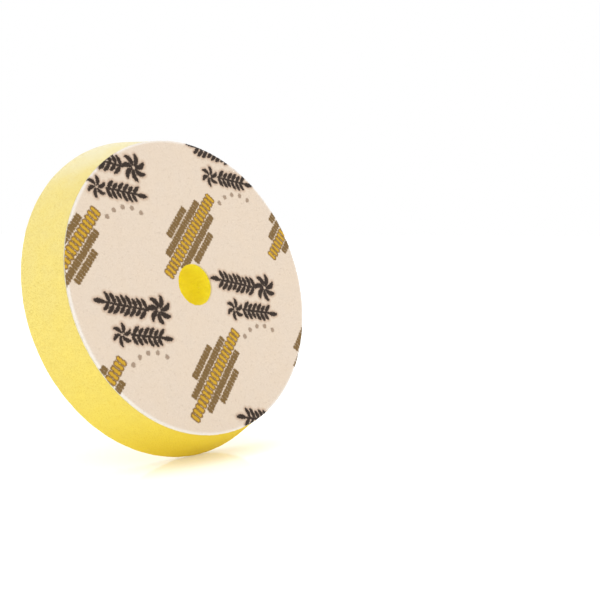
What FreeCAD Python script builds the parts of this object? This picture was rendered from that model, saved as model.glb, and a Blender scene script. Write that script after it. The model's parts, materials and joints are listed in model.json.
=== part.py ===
"""Polishing pad for a machine polisher: a foam disc with a loop-fabric backing and a centre hole.

Frame: the pad stands on its rim, as a wheel does. Y is the spin axis, with the loop face in the plane y = 0
and the working face at y = +total_thick. Z is up. The origin is the centre of the loop face.
All sizes are in millimetres and come from the Sizes sheet.
"""

import FreeCAD, Part
import math
import os

import Sketcher

# Driving dimensions, as alias: (value, what it is)
SIZES = {
    "foam_radius": (82.5, "largest radius of the foam, just behind the working face"),
    "back_radius": (75.0, "radius of the loop fabric, and of the foam where it meets the fabric"),
    "hole_radius": (11.0, "radius of the centre hole"),
    "edge_round": (3.0, "rounding between the working face and the side"),
    "total_thick": (28.0, "loop face to working face"),
    "pile_thick": (1.2, "height of the brushed loops"),
    "ground_thick": (0.4, "knitted ground that holds the loops"),
    "film_thick": (0.2, "hot-melt film between the ground and the foam"),
}
# Heights above the loop face where one layer ends and the next begins, as formulas of the sheet
LAYER_ENDS = {
    "ground_start": "pile_thick",
    "film_start": "pile_thick + ground_thick",
    "foam_start": "pile_thick + ground_thick + film_thick",
}
START, END, CENTRE = 1, 2, 3  # which point of an edge a sketch constraint holds
SKETCH_ORIGIN = (-1, 1)

os.makedirs("parts", exist_ok=True)
doc = FreeCAD.newDocument("PolishingPad")


def make_sheet():
    """The Sizes sheet: one driving dimension a row, then the layer heights worked out from them."""
    sheet = doc.addObject("Spreadsheet::Sheet", "Sizes")
    for row, (alias, (value, note)) in enumerate(SIZES.items(), start=1):
        sheet.set(f"A{row}", note)
        sheet.set(f"B{row}", str(value))
        sheet.setAlias(f"B{row}", alias)
    for row, (alias, formula) in enumerate(LAYER_ENDS.items(), start=len(SIZES) + 1):
        sheet.set(f"B{row}", "=" + formula)
        sheet.setAlias(f"B{row}", alias)
    doc.recompute()
    return sheet


def plane_of(body, role):
    """One of the body's own origin planes."""
    return next(f for f in body.Origin.OriginFeatures if f.Role == role)


def profile_sketch(body, name):
    """An empty sketch in the XY plane: sketch X is the radius and sketch Y runs along the spin axis."""
    sketch = body.newObject("Sketcher::SketchObject", name)
    sketch.AttachmentSupport = (plane_of(body, "XY_Plane"), [""])
    sketch.MapMode = "FlatFace"
    return sketch


def add_outline(sketch, points):
    """Straight edges through the points, closed, with each corner joined. Returns the edges' numbers."""
    corners = [FreeCAD.Vector(x, y, 0) for x, y in points]
    edges = [
        sketch.addGeometry(Part.LineSegment(a, b), False)
        for a, b in zip(corners, corners[1:] + corners[:1])
    ]
    for edge, following in zip(edges, edges[1:] + edges[:1]):
        sketch.addConstraint(Sketcher.Constraint("Coincident", edge, END, following, START))
    return edges


def drive(sketch, kind, name, point, size):
    """Hold a point's X or Y distance from the sketch's origin to a formula of the sheet."""
    geometry, place = point
    number = sketch.addConstraint(
        Sketcher.Constraint(kind, *SKETCH_ORIGIN, geometry, place, float(sketch.Document.Sizes.get(size)))
    )
    sketch.renameConstraint(number, name)
    sketch.setExpression("Constraints." + name, "Sizes." + size)


def square_up(sketch, flat, upright):
    """Keep edges parallel to the radius (flat) or to the spin axis (upright)."""
    for edge in flat:
        sketch.addConstraint(Sketcher.Constraint("Horizontal", edge))
    for edge in upright:
        sketch.addConstraint(Sketcher.Constraint("Vertical", edge))


def revolve(body, sketch):
    """Turn the profile once about the spin axis."""
    turn = body.newObject("PartDesign::Revolution", sketch.Name + "Turn")
    turn.Profile = sketch
    turn.ReferenceAxis = (sketch, ["V_Axis"])
    turn.Angle = 360
    body.Tip = turn


def size(alias):
    """A number from the sheet, for the first guess at a sketch's geometry."""
    return float(doc.Sizes.get(alias))


def side_lean(foot, round_centre, radius):
    """The angle from the spin axis of a line that starts at foot and touches the outside of the rounding."""
    across = round_centre - foot
    towards_centre = math.atan2(across.x, across.y)
    past_centre = math.asin(radius / across.Length)
    return towards_centre + past_centre


def make_foam():
    """The foam disc: it widens from the backing to a rounded edge at the working face."""
    body = doc.addObject("PartDesign::Body", "FoamBody")
    body.Label = "foam_body"
    sketch = profile_sketch(body, "FoamProfile")
    low, high = size("foam_start"), size("total_thick")
    foot = FreeCAD.Vector(size("back_radius"), low, 0)
    hole_low = FreeCAD.Vector(size("hole_radius"), low, 0)
    hole_high = FreeCAD.Vector(size("hole_radius"), high, 0)
    round_centre = FreeCAD.Vector(size("foam_radius") - size("edge_round"), high - size("edge_round"), 0)
    lean = side_lean(foot, round_centre, size("edge_round"))
    round_circle = Part.Circle(round_centre, FreeCAD.Vector(0, 0, 1), size("edge_round"))
    round_arc = Part.ArcOfCircle(round_circle, -lean, math.pi / 2)
    bottom = sketch.addGeometry(Part.LineSegment(hole_low, foot), False)
    side = sketch.addGeometry(Part.LineSegment(foot, round_arc.StartPoint), False)
    edge = sketch.addGeometry(round_arc, False)
    face = sketch.addGeometry(Part.LineSegment(round_arc.EndPoint, hole_high), False)
    bore = sketch.addGeometry(Part.LineSegment(hole_high, hole_low), False)
    sketch.addConstraint(Sketcher.Constraint("Coincident", bottom, END, side, START))
    sketch.addConstraint(Sketcher.Constraint("Tangent", side, END, edge, START))
    sketch.addConstraint(Sketcher.Constraint("Tangent", edge, END, face, START))
    sketch.addConstraint(Sketcher.Constraint("Coincident", face, END, bore, START))
    sketch.addConstraint(Sketcher.Constraint("Coincident", bore, END, bottom, START))
    square_up(sketch, flat=(bottom, face), upright=(bore,))
    drive(sketch, "DistanceX", "HoleRadius", (bottom, START), "hole_radius")
    drive(sketch, "DistanceY", "FoamStart", (bottom, START), "foam_start")
    drive(sketch, "DistanceX", "BackRadius", (bottom, END), "back_radius")
    drive(sketch, "DistanceY", "FaceHeight", (face, END), "total_thick")
    rounding = sketch.addConstraint(Sketcher.Constraint("Radius", edge, size("edge_round")))
    sketch.renameConstraint(rounding, "EdgeRound")
    sketch.setExpression("Constraints.EdgeRound", "Sizes.edge_round")
    reach = sketch.addConstraint(
        Sketcher.Constraint("DistanceX", *SKETCH_ORIGIN, edge, CENTRE, round_centre.x)
    )
    sketch.renameConstraint(reach, "RoundCentre")
    sketch.setExpression("Constraints.RoundCentre", "Sizes.foam_radius - Sizes.edge_round")
    revolve(body, sketch)
    return body


def make_layer(name, label, start, end):
    """A flat ring of fabric or film between two heights, as wide as the backing."""
    body = doc.addObject("PartDesign::Body", name)
    body.Label = label
    sketch = profile_sketch(body, name + "Profile")
    hole, back = size("hole_radius"), size("back_radius")
    low = size(start) if start else 0.0
    high = size(end)
    bottom, rim, top, bore = add_outline(sketch, [(hole, low), (back, low), (back, high), (hole, high)])
    square_up(sketch, flat=(bottom, top), upright=(rim, bore))
    drive(sketch, "DistanceX", "HoleRadius", (bottom, START), "hole_radius")
    drive(sketch, "DistanceX", "BackRadius", (bottom, END), "back_radius")
    if start:
        drive(sketch, "DistanceY", "Start", (bottom, START), start)
    else:
        sketch.addConstraint(Sketcher.Constraint("PointOnObject", bottom, START, -1))
    drive(sketch, "DistanceY", "End", (top, START), end)
    revolve(body, sketch)
    return body


def check(bodies):
    """Stop before anything is written if an object failed or a sub-part has no sound solid."""
    for item in doc.Objects:
        if "Invalid" in item.State or "Error" in item.State:
            raise RuntimeError(f"{item.Label} did not recompute: {item.State}")
    for body in bodies:
        if body.Shape.isNull() or not body.Shape.isValid() or len(body.Shape.Solids) != 1:
            raise RuntimeError(f"{body.Label} has no single sound solid")
        box = body.Shape.optimalBoundingBox()
        print(
            f"{body.Label}: {body.Shape.Volume / 1000:.2f} cm3, "
            f"radius {box.XMax:.2f}, y {box.YMin:.2f} to {box.YMax:.2f}"
        )


make_sheet()
PARTS = [
    make_foam(),
    make_layer("BondFilm", "bond_film", "film_start", "foam_start"),
    make_layer("LoopGround", "loop_ground", "ground_start", "film_start"),
    make_layer("LoopPile", "loop_pile", None, "ground_start"),
]
doc.recompute()
check(PARTS)
for part in PARTS:
    part.Shape.exportStep(f"parts/{part.Label}.step")
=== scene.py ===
import json
import math

import bpy
import numpy as np
from mathutils import Matrix, Vector, kdtree, noise


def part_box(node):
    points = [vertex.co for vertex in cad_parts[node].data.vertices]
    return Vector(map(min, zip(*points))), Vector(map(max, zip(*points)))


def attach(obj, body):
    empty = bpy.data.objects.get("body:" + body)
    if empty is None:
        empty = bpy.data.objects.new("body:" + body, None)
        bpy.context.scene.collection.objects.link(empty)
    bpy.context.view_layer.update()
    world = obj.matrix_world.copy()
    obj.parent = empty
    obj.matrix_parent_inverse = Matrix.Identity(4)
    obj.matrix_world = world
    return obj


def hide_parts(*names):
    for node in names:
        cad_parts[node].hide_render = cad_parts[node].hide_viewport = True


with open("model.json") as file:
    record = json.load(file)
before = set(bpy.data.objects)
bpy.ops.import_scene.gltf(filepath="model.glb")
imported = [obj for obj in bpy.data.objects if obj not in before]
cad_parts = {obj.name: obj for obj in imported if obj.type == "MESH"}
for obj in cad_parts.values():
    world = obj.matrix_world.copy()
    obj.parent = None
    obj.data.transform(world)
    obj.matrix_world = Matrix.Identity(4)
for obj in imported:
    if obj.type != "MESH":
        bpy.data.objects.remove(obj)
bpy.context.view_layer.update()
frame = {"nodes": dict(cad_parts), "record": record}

# The polishing pad stands on its rim. Y is the spin axis: the loop face looks along -Y and the
# working face along +Y. Everything is in metres, and MM writes a size in millimetres.
MM = 0.001
TAU = 2 * math.pi

# Sizes from the frame
FOAM_LOW, FOAM_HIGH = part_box("foam_body")
_, PILE_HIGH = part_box("loop_pile")
GROUND_LOW, GROUND_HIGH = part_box("loop_ground")
FOAM_RADIUS = FOAM_HIGH.z
BACK_RADIUS = PILE_HIGH.z
BORE = next(m for m in frame["record"]["mounts"] if m["kind"] == "bore")
HOLE_RADIUS = BORE["dims"]["r_mm"] * MM
FOAM_START, WORKING_FACE = FOAM_LOW.y, FOAM_HIGH.y

# Stage
FLOOR_UP = Vector((0.091, -0.275, 0.957)).normalized()  # the pad leans back from the camera on its rim
FLOOR_REACH = 12
POLISH_REACH = 0.13  # how far from the pad's foot the floor still mirrors
CAMERA_AT = (-0.3513, -0.3870, -0.0481)
CAMERA_LENS = 63
CAMERA_AZIMUTH = math.radians(-47.48)
CAMERA_RISE = math.radians(2.95)
CAMERA_ROLL = math.radians(15.34)

# Sizes of the surface detail
EDGE_ROUND = 3 * MM  # between the working face and the side of the foam
FOAM_STEP = 0.7 * MM  # spacing of the foam's points where it is seen
PILE_STEP = 0.45 * MM  # spacing of the points on the loop face
HIDDEN_STEP = 3 * MM  # spacing of points that another layer covers
LOOP_PITCH = 1.05 * MM  # from one tuft of loops to the next
LOOP_HEIGHT = 0.3 * MM  # how far a tuft stands above the gaps round it
FOAM_LUMP, FOAM_RIPPLE = 0.10 * MM, 0.06 * MM  # depth of the foam's broad and fine unevenness
PORE_SHARE = 0.05  # share of the foam's points that are open pores
PORE_DEPTH = 0.22 * MM
PILE_CORNER = 0.5 * MM  # rounding of the cut edges of the loops
PILE_OVERHANG = 0.3 * MM  # how far the loops stand into the hole
CUT_STEP = 0.3 * MM  # spacing of the points on the fabric's cut edges
COURSE_PITCH = 1.2 * MM  # from one course of knitting to the next
COURSE_DEPTH = 0.1 * MM

rng = np.random.default_rng(20)


# ---------------------------------------------------------------- turned shapes


def line(start, end, step):
    """Points (radius, y, step) from start up to, but not including, end."""
    start, end = np.array(start), np.array(end)
    count = max(1, round(float(np.linalg.norm(end - start)) / step))
    return [(*(start + (end - start) * i / count), step) for i in range(count)]


def arc(centre, radius, first, last, step):
    """Points (radius, y, step) round an arc, without its last point. Angles run from +radius to +Y."""
    count = max(2, round(abs(last - first) * radius / step))
    angles = [first + (last - first) * i / count for i in range(count)]
    return [(centre[0] + radius * math.cos(a), centre[1] + radius * math.sin(a), step) for a in angles]


def zip_rings(a, b):
    """Triangles between two rings of points. A ring is (first index, count, turn of its first point)."""
    (base_a, count_a, turn_a), (base_b, count_b, turn_b) = a, b
    faces, i, j = [], 0, 0
    while i < count_a or j < count_b:
        next_a = turn_a + (i + 1) / count_a
        next_b = turn_b + (j + 1) / count_b
        here_a, here_b = base_a + i % count_a, base_b + j % count_b
        if j >= count_b or (i < count_a and next_a <= next_b):
            faces.append((here_a, base_a + (i + 1) % count_a, here_b))
            i += 1
        else:
            faces.append((here_a, base_b + (j + 1) % count_b, here_b))
            j += 1
    return faces


def turned(name, profile):
    """A closed ring about the Y axis from a closed profile, with points evenly spaced all over it."""
    rings, rows, total = [], [], 0
    for radius, y, step in profile:
        count = max(24, round(TAU * radius / step))
        turn = rng.random() / count
        angles = (turn + np.arange(count) / count) * TAU
        rows.append(np.stack([radius * np.cos(angles), np.full(count, y), radius * np.sin(angles)], axis=1))
        rings.append((total, count, turn))
        total += count
    faces = [f for a, b in zip(rings, rings[1:] + rings[:1]) for f in zip_rings(a, b)]
    mesh = bpy.data.meshes.new(name)
    mesh.from_pydata(np.concatenate(rows).tolist(), [], faces)
    points, triangles = points_of(mesh), np.array(faces)
    a, b, c = (points[triangles[:, k]] for k in range(3))
    if (a * np.cross(b, c)).sum() < 0:
        mesh.flip_normals()
    mesh.shade_smooth()
    piece = bpy.data.objects.new(name, mesh)
    bpy.context.scene.collection.objects.link(piece)
    return piece


def points_of(mesh):
    flat = np.zeros(len(mesh.vertices) * 3, np.float32)
    mesh.vertices.foreach_get("co", flat)
    return flat.reshape(-1, 3).astype(float)


def normals_of(mesh):
    flat = np.zeros(len(mesh.vertices) * 3, np.float32)
    mesh.vertex_normals.foreach_get("vector", flat)
    return flat.reshape(-1, 3).astype(float)


def put_points(mesh, points):
    mesh.vertices.foreach_set("co", points.astype(np.float32).ravel())
    mesh.update()


def grain(points, size, seed):
    """Smooth noise from -1 to 1 at each point, with lumps of about that size."""
    moved = points / size + seed * 17.3
    return np.array([noise.noise(Vector(p)) for p in moved])


# ---------------------------------------------------------------- foam


def side_lean():
    """The angle from the spin axis of the side, which runs from the backing to the rounded edge."""
    across = FOAM_RADIUS - EDGE_ROUND - BACK_RADIUS
    along = WORKING_FACE - EDGE_ROUND - FOAM_START
    return math.atan2(across, along) + math.asin(EDGE_ROUND / math.hypot(across, along))


def make_foam():
    """The foam disc, with the small unevenness of cut foam and open pores on its skin."""
    centre = (FOAM_RADIUS - EDGE_ROUND, WORKING_FACE - EDGE_ROUND)
    tilt = side_lean()
    side_top = (centre[0] + EDGE_ROUND * math.cos(tilt), centre[1] - EDGE_ROUND * math.sin(tilt))
    foot = (BACK_RADIUS, FOAM_START)
    profile = (
        line((HOLE_RADIUS, WORKING_FACE), (centre[0], WORKING_FACE), FOAM_STEP)
        + arc(centre, EDGE_ROUND, math.pi / 2, -tilt, FOAM_STEP)
        + line(side_top, foot, FOAM_STEP)
        + line(foot, (HOLE_RADIUS, FOAM_START), HIDDEN_STEP)
        + line((HOLE_RADIUS, FOAM_START), (HOLE_RADIUS, WORKING_FACE), FOAM_STEP)
    )
    piece = turned("foam_disc", profile)
    points, normals = points_of(piece.data), normals_of(piece.data)
    out = FOAM_LUMP * grain(points, 7 * MM, 1) + FOAM_RIPPLE * grain(points, 2.2 * MM, 2)
    pores = rng.random(len(points)) < PORE_SHARE
    out -= np.where(pores, PORE_DEPTH * rng.random(len(points)), 0)
    out[points[:, 1] < FOAM_START + 0.1 * MM] = 0
    put_points(piece.data, points + normals * out[:, None])
    return piece


# ---------------------------------------------------------------- loop fabric


def make_pile():
    """The brushed loops: a thin ring of fabric whose face is covered in small tufts."""
    corner, top = PILE_CORNER, LOOP_HEIGHT
    outer, inner = BACK_RADIUS - corner, HOLE_RADIUS - PILE_OVERHANG + corner
    profile = (
        line((inner, top), (outer, top), PILE_STEP)
        + arc((outer, top + corner), corner, -math.pi / 2, 0, CUT_STEP)
        + line((outer + corner, top + corner), (outer + corner, PILE_HIGH.y), 0.4 * MM)
        + line((outer + corner, PILE_HIGH.y), (inner - corner, PILE_HIGH.y), HIDDEN_STEP)
        + line((inner - corner, PILE_HIGH.y), (inner - corner, top + corner), 0.4 * MM)
        + arc((inner, top + corner), corner, math.pi, 1.5 * math.pi, CUT_STEP)
    )
    piece = turned("loop_fabric", profile)
    points, normals = points_of(piece.data), normals_of(piece.data)
    shown = points[:, 1] < PILE_HIGH.y - 0.1 * MM
    tufts = tuft_height(points)
    uneven = 0.06 * MM * grain(points, 8 * MM, 3)
    out = np.where(shown, LOOP_HEIGHT * (tufts - 0.25) + uneven, 0)
    put_points(piece.data, points + normals * out[:, None])
    store(piece.data, "tuft", tufts)
    return piece


def tuft_height(points):
    """From 0 in the gaps to 1 on top of a tuft, for tufts on an uneven triangular grid."""
    rows = np.arange(-BACK_RADIUS, BACK_RADIUS, LOOP_PITCH * math.sqrt(3) / 2)
    places = []
    for k, z in enumerate(rows):
        x = np.arange(-BACK_RADIUS, BACK_RADIUS, LOOP_PITCH) + (k % 2) * LOOP_PITCH / 2
        places += [(a, 0, z) for a in x]
    spots = np.array(places)
    spots[:, [0, 2]] += rng.normal(0, 0.2 * LOOP_PITCH, (len(spots), 2))
    sizes = rng.uniform(0.75, 1, len(spots))
    near, which = nearest(spots, points * [1, 0, 1])
    return sizes[which] * np.clip(1 - (near / (0.75 * LOOP_PITCH)) ** 2, 0, 1)


def nearest(spots, points):
    """The distance from each point to the nearest spot, and that spot's number."""
    tree = kdtree.KDTree(len(spots))
    for i, spot in enumerate(spots):
        tree.insert(spot, i)
    tree.balance()
    found = [tree.find(p) for p in points]
    return np.array([f[2] for f in found]), np.array([f[1] for f in found])


def store(mesh, name, values):
    """Keep a number or a vector at each point, for the material to read."""
    kind = "FLOAT" if values.ndim == 1 else "FLOAT_VECTOR"
    layer = mesh.attributes.new(name, kind, "POINT")
    layer.data.foreach_set("value" if kind == "FLOAT" else "vector", values.astype(np.float32).ravel())


def make_ground():
    """The knitted ground under the loops. Only its cut edges show, and the outer one is ribbed."""
    low, high = GROUND_LOW.y, GROUND_HIGH.y
    outer, inner = BACK_RADIUS - 0.1 * MM, HOLE_RADIUS + 0.1 * MM
    profile = (
        line((inner, low), (outer, low), HIDDEN_STEP)
        + line((outer, low), (outer, high), CUT_STEP)
        + line((outer, high), (inner, high), HIDDEN_STEP)
        + line((inner, high), (inner, low), CUT_STEP)
    )
    piece = turned("knitted_ground", profile)
    points = points_of(piece.data)
    radius = np.hypot(points[:, 0], points[:, 2])
    courses = np.sin(np.arctan2(points[:, 2], points[:, 0]) * round(TAU * BACK_RADIUS / COURSE_PITCH))
    at_edge = radius > outer - 0.2 * MM
    grow = np.where(at_edge, 1 + COURSE_DEPTH * courses / BACK_RADIUS, 1)
    points[:, [0, 2]] *= grow[:, None]
    put_points(piece.data, points)
    return piece


# ---------------------------------------------------------------- print on the loop face

# Plain ornament repeats over the fabric. The disc is cut from it anywhere, so some ends at the rim or
# the hole. Sizes are in millimetres across (X) and up (Z) the loop face.
REPEATS = [(a, b) for a in (-1, 0, 1) for b in (-2, -1, 0, 1, 2)]
REPEAT_ACROSS = np.array([73.7, 0.8])
REPEAT_UP = np.array([7.5, 70.7])
# A sprig: (middle of its pinwheel, pinwheel's radius, blades, stem's start, stem's tip, leaf length)
SPRIGS = (
    ((-27.0, -9.0), 6.5, 7, (-34.0, -8.0), (-62.0, 1.0), 5.4),
    ((-52.0, -17.0), 5.0, 6, (-46.5, -18.0), (-24.0, -24.0), 4.9),
)
# A pinwheel's blades, as shares of its radius: where they start, their length and half their width
BLADE_START, BLADE_LENGTH, BLADE_HALF = 0.2, 0.88, 0.22
BLADE_TURN = 0.35  # how far a blade starts off the straight way out, in radians
BLADE_BEND = 1.3
STEM_HALF = 0.7
LEAF_PITCH = 3.0
LEAF_LEAN = math.radians(58)
LEAF_BEND = -0.6
LEAF_HALF = 1.2
TIP_BEND, TIP_HALF = 0.3, 1.3  # the leaf at the tip of the stem
# Faint dots in a shallow arc
DOT_ARC_AT = (-40.0, -44.0)
DOT_ARC_RADIUS = 16.0
DOT_ANGLES = [math.radians(a) for a in range(50, 131, 20)]
DOT_RADIUS = 1.3
STACK_AT = np.array([5.0, 25.0])  # middle of the leaning stack of bars
STACK_ANGLE = math.radians(41.7)
# The stack is a plain diamond. For each bar: how far above the middle line it is, and half its length
THIN_BARS = ((10.0, 10.0), (5.5, 19.0), (-5.5, 19.0), (-10.0, 10.0))
THICK_BAR = (0.0, 28.0)
# The bars are rows of upright strokes: half a stroke's height, the pitch of the row, half a stroke's width
THIN_STROKE = (1.05, 1.75, 1.0)
THICK_STROKE = (1.95, 2.75, 1.5)


def blade(start, heading, length, bend, half):
    """A stroke that turns by bend and is widest at its middle: its points and half widths."""
    t = np.linspace(0, 1, 24)
    turn = heading + bend * (t - 0.5)
    steps = np.stack([np.cos(turn), np.sin(turn)], axis=1) * length / (len(t) - 1)
    return start + np.cumsum(steps, axis=0), half * np.sqrt(np.sin(math.pi * (0.1 + 0.8 * t)))


def pinwheel(middle, radius, blades):
    """Curved blades round a middle, like the swirl that a turning pad leaves."""
    strokes = []
    for k in range(blades):
        angle = TAU * k / blades
        outwards = np.array([math.cos(angle), math.sin(angle)])
        root = np.array(middle) + BLADE_START * radius * outwards
        heading = angle + BLADE_TURN
        strokes.append(blade(root, heading, BLADE_LENGTH * radius, BLADE_BEND, BLADE_HALF * radius))
    return strokes


def leafy_stem(start, tip, leaf):
    """A stem with pairs of leaves that lean forwards, and one leaf at its tip."""
    reach = np.subtract(tip, start)
    length, heading = np.hypot(*reach), math.atan2(reach[1], reach[0])
    ahead = reach / length
    strokes = [(start + ahead * np.linspace(0, length - leaf, 60)[:, None], np.full(60, STEM_HALF))]
    for k in range(round((length - leaf) / LEAF_PITCH)):
        for side in (-1, 1):
            size = leaf * (0.88 + 0.12 * math.cos(2.1 * k + side))
            root = start + ahead * (k + 0.25 + 0.12 * side) * LEAF_PITCH
            strokes.append(blade(root, heading + side * LEAF_LEAN, size, LEAF_BEND * side, LEAF_HALF))
    strokes.append(blade(start + ahead * (length - leaf), heading, leaf, TIP_BEND, TIP_HALF))
    return strokes


def sprig_strokes():
    """The points and half widths of both sprigs."""
    strokes = []
    for middle, radius, blades, start, tip, leaf in SPRIGS:
        strokes += pinwheel(middle, radius, blades)
        strokes += leafy_stem(np.array(start), np.array(tip), leaf)
    return tuple(np.concatenate(part) for part in zip(*strokes))


def pills(bars, half, pitch):
    """Short upright strokes evenly along each bar, as points (along, up) in the stack's own directions."""
    points = []
    for above, reach in bars:
        count = round(2 * reach / pitch)
        along = reach * ((2 * np.arange(count) + 1) / count - 1)
        points += [(a, above + half * k) for a in along for k in np.linspace(-1, 1, 7)]
    return points


def lean(points):
    """Turn points in the stack's directions into points on the loop face."""
    c, s = math.cos(STACK_ANGLE), math.sin(STACK_ANGLE)
    return np.array(points) @ np.array([[c, s], [-s, c]]) + STACK_AT


def repeated(points):
    """The same points in every repeat of the print."""
    return np.concatenate([points + a * REPEAT_ACROSS + b * REPEAT_UP for a, b in REPEATS])


def distance(spots, points, half_width):
    """How far outside the nearest stroke each point is, in millimetres. It is negative in the ink."""
    near, which = nearest(np.insert(spots, 1, 0, axis=1), points)
    return near - (half_width[which] if np.ndim(half_width) else half_width)


def bar_distance(bars, stroke, points):
    """The distance from each point to the strokes of some bars."""
    half, pitch, half_width = stroke
    return distance(repeated(lean(pills(bars, half, pitch))), points, half_width)


def add_print(piece):
    """Store how far each point is from the edge of each ink."""
    points = points_of(piece.data) / MM * [1, 0, 1]
    strokes, widths = sprig_strokes()
    dark = distance(repeated(strokes), points, np.tile(widths, len(REPEATS)))
    brown = bar_distance(THIN_BARS, THIN_STROKE, points)
    gold = bar_distance([THICK_BAR], THICK_STROKE, points)
    across, up = DOT_ARC_AT
    spots = [
        (across + DOT_ARC_RADIUS * math.cos(a), up + DOT_ARC_RADIUS * math.sin(a)) for a in DOT_ANGLES
    ]
    dots = distance(repeated(np.array(spots)), points, DOT_RADIUS)
    store(piece.data, "ink_near", np.stack([dark, brown, gold], axis=1))
    store(piece.data, "ink_dots", dots)


# ---------------------------------------------------------------- materials


def srgb(red, green, blue):
    """A linear colour from 8-bit sRGB values."""
    return (*(((c / 255 + 0.055) / 1.055) ** 2.4 for c in (red, green, blue)), 1.0)


class Shader:
    """A material's nodes, with short ways to add the ones used here."""

    def __init__(self, name, roughness, **constants):
        self.material = bpy.data.materials.new(name)
        self.material.use_nodes = True
        self.nodes, self.links = self.material.node_tree.nodes, self.material.node_tree.links
        self.surface = self.nodes["Principled BSDF"]
        self.surface.inputs["Roughness"].default_value = roughness
        for socket, value in constants.items():
            self.surface.inputs[socket.replace("_", " ")].default_value = value
        self.place = self.nodes.new("ShaderNodeTexCoord").outputs["Object"]

    def add(self, kind, **settings):
        node = self.nodes.new("ShaderNode" + kind)
        for key, value in settings.items():
            setattr(node, key, value)
        return node

    def feed(self, socket, source):
        if isinstance(source, (int, float, tuple)):
            socket.default_value = source
        else:
            self.links.new(source, socket)

    def noise(self, size, detail=2.0, rough=0.5):
        node = self.add("TexNoise")
        self.links.new(self.place, node.inputs["Vector"])
        node.inputs["Scale"].default_value = 1 / size
        node.inputs["Detail"].default_value = detail
        node.inputs["Roughness"].default_value = rough
        return node.outputs["Fac"]

    def cells(self, size, feature="F1"):
        node = self.add("TexVoronoi", feature=feature)
        self.links.new(self.place, node.inputs["Vector"])
        node.inputs["Scale"].default_value = 1 / size
        return node.outputs["Distance"]

    def ramp(self, source, low, high, to_low=0.0, to_high=1.0):
        """source scaled smoothly from (low, high) to (to_low, to_high), with no overshoot."""
        node = self.add("MapRange", interpolation_type="SMOOTHSTEP")
        self.links.new(source, node.inputs["Value"])
        ends = {"From Min": low, "From Max": high, "To Min": to_low, "To Max": to_high}
        for key, value in ends.items():
            node.inputs[key].default_value = value
        return node.outputs["Result"]

    def math(self, operation, a, b):
        node = self.add("Math", operation=operation)
        self.feed(node.inputs[0], a)
        self.feed(node.inputs[1], b)
        return node.outputs[0]

    def mix(self, share, a, b):
        node = self.add("Mix", data_type="RGBA")
        self.feed(node.inputs[0], share)
        self.feed(node.inputs[6], a)
        self.feed(node.inputs[7], b)
        return node.outputs[2]

    def blend(self, share, a, b):
        """Two surfaces in one: a, then b by its share."""
        node = self.add("MixShader")
        for socket, source in zip(node.inputs, (share, a, b)):
            self.links.new(source, socket)
        return node.outputs[0]

    def value(self, name):
        """A number stored on the mesh."""
        return self.add("Attribute", attribute_name=name).outputs["Fac"]

    def from_axis(self):
        """The distance from the pad's spin axis."""
        across, _, up = self.parts_of(self.place)
        squares = self.math("ADD", self.math("MULTIPLY", across, across), self.math("MULTIPLY", up, up))
        return self.math("POWER", squares, 0.5)

    def vector(self, name):
        """The three parts of a vector stored on the mesh."""
        return self.parts_of(self.add("Attribute", attribute_name=name).outputs["Vector"])

    def parts_of(self, source):
        node = self.add("SeparateXYZ")
        self.links.new(source, node.inputs[0])
        return node.outputs

    def bump(self, height, depth, after=None):
        node = self.add("Bump")
        self.links.new(height, node.inputs["Height"])
        node.inputs["Distance"].default_value = depth
        if after:
            self.links.new(after, node.inputs["Normal"])
        return node.outputs["Normal"]

    def finish(self, colour, normal=None, roughness=None):
        self.links.new(colour, self.surface.inputs["Base Color"])
        if normal:
            self.links.new(normal, self.surface.inputs["Normal"])
        if roughness:
            self.links.new(roughness, self.surface.inputs["Roughness"])
        return self.material


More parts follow.
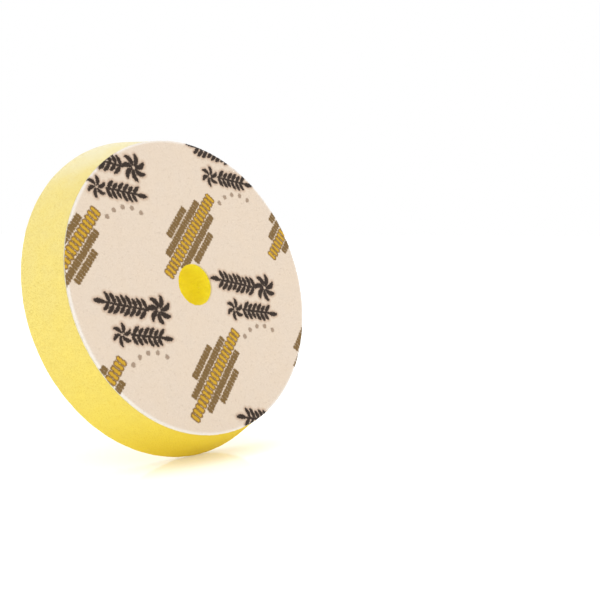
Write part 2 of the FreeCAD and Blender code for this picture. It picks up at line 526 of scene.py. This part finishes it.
def foam_material():
    """Yellow open-cell foam with fine pores, painted darker as painted shade in their hollows. It is
    painted paler high on the pad as painted light from above and deeper near the foot as painted shade,
    deeper on the working face, and painted brighter in the bore as painted light glowing through the foam."""
    s = Shader("foam", 0.85, Sheen_Weight=0.08, Sheen_Roughness=0.5, Specular_IOR_Level=0.08)
    s.surface.inputs["Sheen Tint"].default_value = srgb(255, 252, 236)
    pores = s.ramp(s.cells(0.55 * MM), 0.15, 0.55)
    big_pores = s.ramp(s.cells(1.3 * MM), 0.08, 0.3)
    _, y, z = s.parts_of(s.place)
    # Painted light and shade: the colour runs from a deep yellow low on the pad to a pale yellow high on
    # it, as light from above
    up_the_pad = s.math("DIVIDE", s.math("ADD", z, FOAM_RADIUS), 2 * FOAM_RADIUS)
    colour = s.mix(s.math("POWER", up_the_pad, 0.6), srgb(227, 202, 20), srgb(232, 216, 146))
    # Painted highlight: a pale haze painted on the top of the pad
    colour = s.mix(s.ramp(z, 0.65 * FOAM_RADIUS, FOAM_RADIUS, 0.0, 0.75), colour, srgb(240, 236, 212))
    # Painted shade: a deeper, darker yellow painted at the pad's foot, where it meets the floor
    colour = s.mix(s.ramp(z, -FOAM_RADIUS, -0.6 * FOAM_RADIUS, 0.55, 0.0), colour, srgb(226, 192, 0))
    face = s.ramp(y, WORKING_FACE - 1.5 * MM, WORKING_FACE - 0.3 * MM, 0.0, 0.75)
    colour = s.mix(face, colour, srgb(237, 206, 62))
    # Painted light: the bore wall is painted bright yellow, as light glowing through the foam
    in_bore = s.ramp(s.from_axis(), HOLE_RADIUS + 0.3 * MM, HOLE_RADIUS + 1.2 * MM, 1.0, 0.0)
    colour = s.mix(in_bore, colour, srgb(255, 240, 50))
    colour = s.mix(s.ramp(s.noise(9 * MM, 3), 0.3, 0.7, 0.0, 0.15), colour, srgb(243, 218, 80))
    # Painted shade: the pores are painted a darker yellow, as shade in their hollows
    colour = s.mix(s.ramp(pores, 0, 1, 0.2, 0), colour, srgb(222, 178, 6))
    colour = s.mix(s.ramp(big_pores, 0, 1, 0.2, 0), colour, srgb(212, 166, 6))
    normal = s.bump(pores, 0.12 * MM)
    normal = s.bump(s.noise(0.25 * MM, 2), 0.08 * MM, normal)
    return s.finish(colour, normal, s.ramp(pores, 0, 1, 0.95, 0.8))


def pile_material():
    """Cream brushed loops with dark, brown and gold print that fades into the fibres."""
    s = Shader("brushed_loops", 0.9, Sheen_Weight=0.12, Sheen_Roughness=0.5, Specular_IOR_Level=0.1)
    s.surface.inputs["Sheen Tint"].default_value = srgb(255, 246, 238)
    fibres = s.noise(0.22 * MM, 3, 0.65)
    inside = s.math("SUBTRACT", BACK_RADIUS, s.from_axis())
    cloth = s.mix(s.ramp(fibres, 0.3, 0.7), srgb(209, 192, 172), srgb(228, 212, 195))
    cloth = s.mix(s.ramp(s.noise(12 * MM, 2), 0.3, 0.7, 0.0, 0.25), cloth, srgb(222, 202, 178))
    # Painted shade: the gaps between the tufts are painted darker
    cloth = s.mix(s.ramp(s.value("tuft"), 0.0, 0.45, 0.3, 0.0), cloth, srgb(186, 166, 146))
    cloth = s.mix(s.ramp(inside, 0.2 * MM, 1.6 * MM, 0.6, 0.0), cloth, srgb(240, 237, 232))
    wander = s.ramp(s.noise(0.7 * MM, 2), 0.25, 0.75, -0.28, 0.28)
    dark, brown, gold = s.vector("ink_near")
    layers = (
        (s.value("ink_dots"), 0.7, srgb(120, 92, 66)),
        (brown, 1.0, srgb(116, 88, 42)),
        (gold, 1.0, srgb(128, 94, 34)),
        (dark, 1.0, srgb(30, 21, 18)),
    )
    colour = s.mix(s.ramp(dark, 0.0, 1.8, 0.5, 0.0), cloth, srgb(176, 140, 112))
    for edge, strength, ink in layers:
        share = s.ramp(s.math("ADD", edge, wander), -0.35, 0.35, strength, 0.0)
        colour = s.mix(s.math("MULTIPLY", share, s.ramp(fibres, 0.2, 0.75, 1.0, 0.93)), colour, ink)
    filling = s.ramp(s.math("ADD", gold, wander), -1.0, -0.5, 0.9, 0.0)
    colour = s.mix(filling, colour, srgb(206, 162, 44))
    normal = s.bump(fibres, 0.12 * MM)
    normal = s.bump(s.noise(0.6 * MM, 2), 0.15 * MM, normal)
    return s.finish(colour, normal, s.ramp(fibres, 0.3, 0.7, 0.98, 0.8))


def ground_material():
    """Off-white knitted yarn, seen at the cut edges."""
    s = Shader("knitted_yarn", 0.9, Sheen_Weight=0.2, Specular_IOR_Level=0.2)
    yarn = s.noise(0.3 * MM, 3)
    colour = s.mix(s.ramp(yarn, 0.3, 0.7), srgb(214, 206, 196), srgb(238, 234, 228))
    return s.finish(colour, s.bump(yarn, 0.12 * MM), s.ramp(yarn, 0.3, 0.7, 0.98, 0.8))


def film_material():
    """Milky hot-melt film."""
    s = Shader("hot_melt", 0.45)
    cloud = s.noise(1.5 * MM, 2)
    colour = s.mix(s.ramp(cloud, 0.3, 0.7), srgb(232, 222, 176), srgb(240, 232, 200))
    return s.finish(colour, s.bump(cloud, 0.05 * MM), s.ramp(cloud, 0.3, 0.7, 0.35, 0.55))


def floor_material():
    """White, with a polish round the pad's foot that fades away, so the pad mirrors faintly below it.

    From below the floor is clear, because it slopes and would hide the pad from a low camera behind it.
    """
    s = Shader("white_floor", 0.8, Specular_IOR_Level=0.0, Emission_Strength=0.25)
    s.surface.inputs["Emission Color"].default_value = (1, 1, 1, 1)
    colour = s.mix(s.ramp(s.noise(0.4, 2), 0.3, 0.7), srgb(250, 250, 250), srgb(252, 252, 252))
    s.finish(colour)
    away = s.add("VectorMath", operation="LENGTH")
    s.links.new(s.place, away.inputs[0])
    polish = s.add("BsdfGlossy")
    polish.inputs["Color"].default_value = (1, 1, 1, 1)
    polish.inputs["Roughness"].default_value = 0.06
    share = s.ramp(away.outputs["Value"], 0.01, POLISH_REACH, 0.22, 0.0)
    top = s.blend(share, s.surface.outputs[0], polish.outputs[0])
    below = s.add("NewGeometry").outputs["Backfacing"]
    seen = s.blend(below, top, s.add("BsdfTransparent").outputs[0])
    s.links.new(seen, s.nodes["Material Output"].inputs["Surface"])
    return s.material


# ---------------------------------------------------------------- camera, light and floor


def look(obj, place, target):
    obj.location = place
    obj.rotation_euler = (Vector(target) - Vector(place)).to_track_quat("-Z", "Y").to_euler()


def make_camera():
    """The camera stands in front and to the left, looks slightly up, and leans over to its right."""
    data = bpy.data.cameras.new("camera")
    data.lens, data.sensor_width = CAMERA_LENS, 36
    data.clip_start, data.clip_end = 0.01, 100
    camera = bpy.data.objects.new("camera", data)
    bpy.context.scene.collection.objects.link(camera)
    across, along = -math.sin(CAMERA_AZIMUTH), math.cos(CAMERA_AZIMUTH)
    forward = Vector((across, along, math.tan(CAMERA_RISE))).normalized()
    turn = forward.to_track_quat("-Z", "Y").to_matrix() @ Matrix.Rotation(-CAMERA_ROLL, 3, "Z")
    camera.matrix_world = Matrix.Translation(CAMERA_AT) @ turn.to_4x4()
    bpy.context.scene.camera = camera


def soft_sun(name, source, spread, strength):
    """Even light from the direction of source. spread is its width in degrees."""
    data = bpy.data.lights.new(name, "SUN")
    data.angle, data.energy = math.radians(spread), strength
    light = bpy.data.objects.new(name, data)
    bpy.context.scene.collection.objects.link(light)
    look(light, source, (0, 0, 0))


def make_studio(pad):
    """A white floor that just touches the pad's rim, in an even white room with soft light from above."""
    world = bpy.data.worlds.new("white_room")
    world.use_nodes = True
    world.node_tree.nodes["Background"].inputs["Color"].default_value = (1, 1, 1, 1)
    world.node_tree.nodes["Background"].inputs["Strength"].default_value = 1.0
    bpy.context.scene.world = world
    soft_sun("overhead", (-0.6, -0.7, 1.6), 70, 0.45)
    soft_sun("side", (1.0, -0.5, 1.2), 70, 0.25)
    points = points_of(pad.data)
    foot = Vector(points[(points @ FLOOR_UP).argmin()])
    r = FLOOR_REACH
    mesh = bpy.data.meshes.new("floor")
    mesh.from_pydata([(-r, -r, 0), (r, -r, 0), (r, r, 0), (-r, r, 0)], [], [(0, 1, 2, 3)])
    mesh.materials.append(floor_material())
    floor = bpy.data.objects.new("floor", mesh)
    floor.location, floor.rotation_euler = foot, FLOOR_UP.to_track_quat("Z", "Y").to_euler()
    bpy.context.scene.collection.objects.link(floor)
    bpy.context.scene.view_settings.view_transform = "Standard"


# ---------------------------------------------------------------- the pad


def dress(piece, material, slot, *nodes):
    """Give a piece its material, let it stand for its CAD nodes, and fix it to the body. slot is not used.
    """
    piece.data.materials.append(material)
    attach(piece, "root")
    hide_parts(*nodes)


foam = make_foam()
dress(foam, foam_material(), "yellow_foam", "foam_body")

ground = make_ground()
dress(ground, ground_material(), "knitted_ground", "loop_ground")

pile = make_pile()
add_print(pile)
dress(pile, pile_material(), "brushed_loops", "loop_pile")

frame["nodes"]["bond_film"].data.materials.clear()
frame["nodes"]["bond_film"].data.materials.append(film_material())

make_studio(foam)
make_camera()
